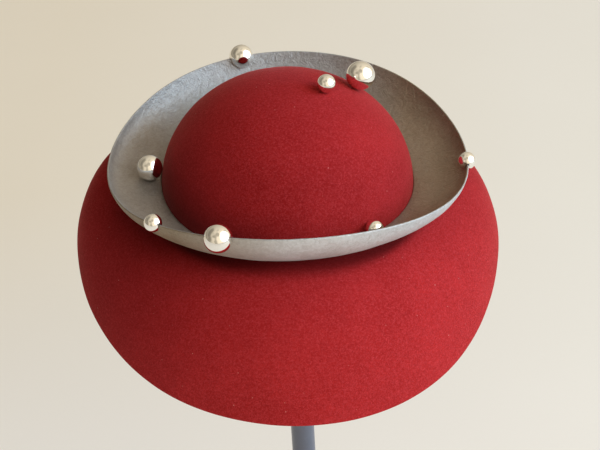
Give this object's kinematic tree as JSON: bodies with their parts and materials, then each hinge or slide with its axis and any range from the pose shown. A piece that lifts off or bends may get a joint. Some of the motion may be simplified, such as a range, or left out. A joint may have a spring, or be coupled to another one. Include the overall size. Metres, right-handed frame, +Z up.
{
  "type": "felt hat on a stand",
  "caption": "Felt hat with a round crown, an upturned dish-shaped leather collar set with polished balls, and a deep bell brim, resting on a plain post stand.",
  "frame": {"origin": "centre of the stand base's underside, on the surface it stands on, under the post's axis", "axes": "+Z up along the post; the hat's front, where the brim is deepest, faces -Y; +X is to the right as seen from the front"},
  "size_m": [0.3514, 0.3563, 0.5298],
  "materials": {
    "red_felt": "deep red wool felt, brushed, with a short fuzz",
    "grey_leather": "satin silver-grey, finely pebbled",
    "silver": "mirror polished",
    "stand_metal": "satin dark blue-grey"
  },
  "bodies": {
    "root": {"crown": "red_felt", "collar": "grey_leather", "brim": "red_felt", "ball_back_rim": "silver", "ball_crown_top": "silver", "ball_crown_shoulder": "silver", "ball_right_rim": "silver", "ball_hollow_left": "silver", "ball_left_rim": "silver", "ball_front_rim": "silver", "ball_hollow_right": "silver", "stand_base": "stand_metal", "stand_post": "stand_metal", "stand_top": "stand_metal"}
  },
  "joints": []
}
